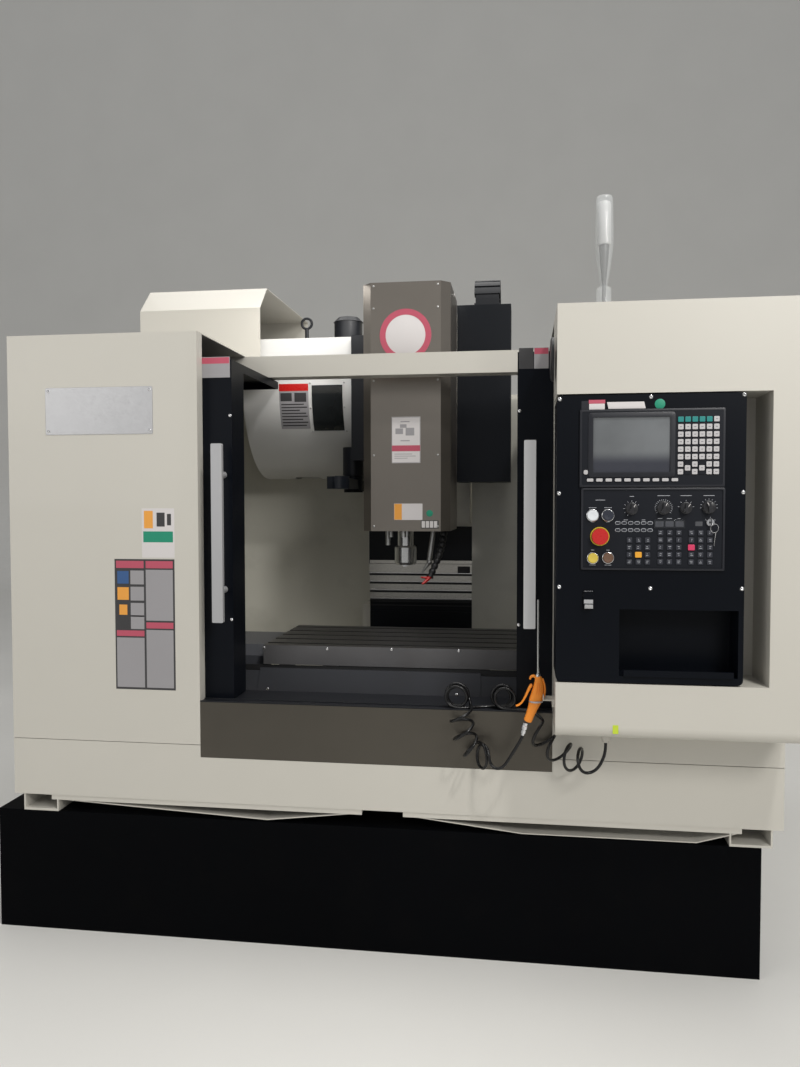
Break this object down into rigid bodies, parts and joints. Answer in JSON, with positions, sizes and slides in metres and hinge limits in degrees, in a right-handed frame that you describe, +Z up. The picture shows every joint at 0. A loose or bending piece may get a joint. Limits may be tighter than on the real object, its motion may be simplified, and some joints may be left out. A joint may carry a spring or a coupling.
{
  "type": "vertical machining centre",
  "caption": "Enclosed vertical milling machine with open sliding doors, table, upright spindle head, side tool magazine with change arm, swivelling console and air gun on a coiled hose.",
  "frame": {"origin": "middle of the machine's width and depth, on the floor", "axes": "+X right and +Z up as seen from the front, +Y from the front to the rear"},
  "size_m": [2.562, 2.441, 2.475],
  "materials": {
    "cream_paint": "powder-coated sheet",
    "white_paint": "smooth enamel",
    "guard_paint": "painted sheet, oily",
    "cast_paint": "painted casting",
    "tank_paint": "dark powder coat",
    "navy_paint": "satin powder coat",
    "black_paint": "satin paint",
    "stainless": "brushed stainless sheet",
    "feet_steel": "turned steel",
    "spindle_steel": "ground steel",
    "table_iron": "milled iron",
    "cover_paint": "grey painted steel",
    "motor_black": "black-painted housing",
    "chain_plastic": "ribbed plastic links",
    "pot_plastic": "moulded pots",
    "nozzle_metal": "dull pipe",
    "window_glass": "tinted pane",
    "handle_aluminium": "satin bar",
    "panel_plastic": "key panel",
    "knob_plastic": "ribbed knob",
    "lamp_plastic": "clear tube",
    "red_plastic": "moulded",
    "button_white": "lit cap",
    "button_dark": "cap",
    "button_yellow": "cap",
    "button_brown": "cap",
    "gun_plastic": "moulded",
    "hose_rubber": "smooth hose"
  },
  "bodies": {
    "frame": {"bed": "cast_paint", "levelling_feet": "feet_steel", "column": "cast_paint", "coolant_tank": "tank_paint", "chip_tray": "cream_paint", "front_skirt": "cream_paint", "front_panels": "cream_paint", "apron": "stainless", "left_enclosure": "cream_paint", "right_enclosure": "cream_paint", "inner_guard": "guard_paint", "crossbeam": "cream_paint", "magazine_hood": "cream_paint", "electrical_cabinet": "cream_paint", "operator_cabinet": "cream_paint", "signal_lamp": "lamp_plastic", "column_cover": "black_paint", "chain_box": "black_paint", "axis_motors": "motor_black", "magazine_cover": "white_paint", "changer_drive": "motor_black", "air_gun": "gun_plastic", "hose_runs": "hose_rubber", "hose_coils": "hose_rubber"},
    "saddle": {"saddle": "cast_paint", "saddle_cover": "cover_paint"},
    "table": {"table": "table_iron", "table_end_covers": "cover_paint"},
    "head": {"head_casting": "cast_paint", "head_cover": "stainless", "coolant_nozzles": "nozzle_metal"},
    "spindle": {"spindle": "spindle_steel"},
    "cover_1": {"z_cover_1": "stainless"},
    "cover_2": {"z_cover_2": "stainless"},
    "cover_3": {"z_cover_3": "stainless"},
    "cover_4": {"z_cover_4": "stainless"},
    "chain": {"cable_chain": "chain_plastic"},
    "left_leaf": {"left_door": "navy_paint", "left_door_window": "window_glass", "left_door_handle": "handle_aluminium"},
    "right_leaf": {"right_door": "navy_paint", "right_door_window": "window_glass", "right_door_handle": "handle_aluminium"},
    "carousel": {"carousel": "pot_plastic"},
    "change_arm": {"change_arm": "black_paint"},
    "console": {"console": "navy_paint", "display_unit": "panel_plastic", "machine_panel": "panel_plastic"},
    "mode_knob": {"mode_knob": "knob_plastic"},
    "spindle_knob": {"spindle_knob": "knob_plastic"},
    "feed_knob": {"feed_knob": "knob_plastic"},
    "step_knob": {"step_knob": "knob_plastic"},
    "emergency_stop": {"emergency_stop": "red_plastic"},
    "power_on": {"power_on": "button_white"},
    "power_off": {"power_off": "button_dark"},
    "cycle_start": {"cycle_start": "button_yellow"},
    "feed_hold": {"feed_hold": "button_brown"},
    "electrical_door": {"electrical_door": "cream_paint"},
    "isolator_handle": {"isolator_handle": "red_plastic"},
    "gun_trigger": {"gun_trigger": "gun_plastic"}
  },
  "joints": [
    {"name": "saddle_slide", "type": "slide", "parent": "frame", "child": "saddle", "axis": [0, 1, 0], "range_m": [-0.094, 0.456]},
    {"name": "table_slide", "type": "slide", "parent": "saddle", "child": "table", "axis": [1, 0, 0], "range_m": [-0.436, 0.364]},
    {"name": "head_slide", "type": "slide", "parent": "frame", "child": "head", "axis": [0, 0, 1], "range_m": [-0.13, 0.42]},
    {"name": "spindle_turn", "type": "hinge", "parent": "head", "child": "spindle", "pos_m": [0.031, -0.2315, 1.205], "axis": [0, 0, 1], "continuous": true},
    {"name": "cover_1_slide", "type": "slide", "parent": "frame", "child": "cover_1", "axis": [0, 0, 1], "range_m": [-0.104, 0.336]},
    {"name": "cover_2_slide", "type": "slide", "parent": "frame", "child": "cover_2", "axis": [0, 0, 1], "range_m": [-0.078, 0.252]},
    {"name": "cover_3_slide", "type": "slide", "parent": "frame", "child": "cover_3", "axis": [0, 0, 1], "range_m": [-0.052, 0.168]},
    {"name": "cover_4_slide", "type": "slide", "parent": "frame", "child": "cover_4", "axis": [0, 0, 1], "range_m": [-0.026, 0.084]},
    {"name": "chain_slide", "type": "slide", "parent": "frame", "child": "chain", "axis": [0, 0, 1], "range_m": [-0.065, 0.21]},
    {"name": "left_leaf_slide", "type": "slide", "parent": "frame", "child": "left_leaf", "axis": [1, 0, 0], "range_m": [0, 0.466]},
    {"name": "right_leaf_slide", "type": "slide", "parent": "frame", "child": "right_leaf", "axis": [-1, 0, 0], "range_m": [0, 0.466]},
    {"name": "carousel_turn", "type": "hinge", "parent": "frame", "child": "carousel", "pos_m": [-0.489, 0.4835, 1.877], "axis": [1, 0, 0], "continuous": true},
    {"name": "arm_slide", "type": "slide", "parent": "frame", "child": "change_arm", "axis": [0, 0, 1], "range_m": [-0.115, 0]},
    {"name": "console_swing", "type": "hinge", "parent": "frame", "child": "console", "pos_m": [0.606, -1.1785, 1.35], "axis": [0, 0, -1], "range_deg": [0, 90]},
    {"name": "mode_knob_turn", "type": "hinge", "parent": "console", "child": "mode_knob", "pos_m": [0.799, -1.1975, 1.439], "axis": [0, 1, 0], "range_deg": [-75, 225]},
    {"name": "spindle_knob_turn", "type": "hinge", "parent": "console", "child": "spindle_knob", "pos_m": [0.885, -1.1975, 1.441], "axis": [0, 1, 0], "range_deg": [-120, 120]},
    {"name": "feed_knob_turn", "type": "hinge", "parent": "console", "child": "feed_knob", "pos_m": [0.945, -1.1975, 1.441], "axis": [0, 1, 0], "range_deg": [-150, 150]},
    {"name": "step_knob_turn", "type": "hinge", "parent": "console", "child": "step_knob", "pos_m": [1.006, -1.1975, 1.443], "axis": [0, 1, 0], "range_deg": [-45, 90]},
    {"name": "power_on_press", "type": "slide", "parent": "console", "child": "power_on", "axis": [0, 1, 0], "range_m": [0, 0.0028], "stiffness_N_per_m": 500},
    {"name": "power_off_press", "type": "slide", "parent": "console", "child": "power_off", "axis": [0, 1, 0], "range_m": [0, 0.0028], "stiffness_N_per_m": 500},
    {"name": "cycle_start_press", "type": "slide", "parent": "console", "child": "cycle_start", "axis": [0, 1, 0], "range_m": [0, 0.0028], "stiffness_N_per_m": 500},
    {"name": "feed_hold_press", "type": "slide", "parent": "console", "child": "feed_hold", "axis": [0, 1, 0], "range_m": [0, 0.0028], "stiffness_N_per_m": 500},
    {"name": "emergency_stop_press", "type": "slide", "parent": "console", "child": "emergency_stop", "axis": [0, 1, 0], "range_m": [0, 0.0028], "stiffness_N_per_m": 500},
    {"name": "electrical_door_swing", "type": "hinge", "parent": "frame", "child": "electrical_door", "pos_m": [-0.5275, 1.1845, 1.32], "axis": [0, 0, 1], "range_deg": [0, 120]},
    {"name": "isolator_turn", "type": "hinge", "parent": "electrical_door", "child": "isolator_handle", "pos_m": [0.461, 1.1935, 1.62], "axis": [0, 1, 0], "range_deg": [0, 90]},
    {"name": "trigger_press", "type": "hinge", "parent": "frame", "child": "gun_trigger", "pos_m": [0.522, -1.0765, 0.908], "axis": [0, -1, 0], "range_deg": [0, 9], "stiffness_Nm_per_rad": 0.5}
  ],
  "couplings": [
    {"joint": "cover_1_slide", "follows": "head_slide", "ratio": 0.8},
    {"joint": "cover_2_slide", "follows": "head_slide", "ratio": 0.6},
    {"joint": "cover_3_slide", "follows": "head_slide", "ratio": 0.4},
    {"joint": "cover_4_slide", "follows": "head_slide", "ratio": 0.2},
    {"joint": "chain_slide", "follows": "head_slide", "ratio": 0.5}
  ]
}
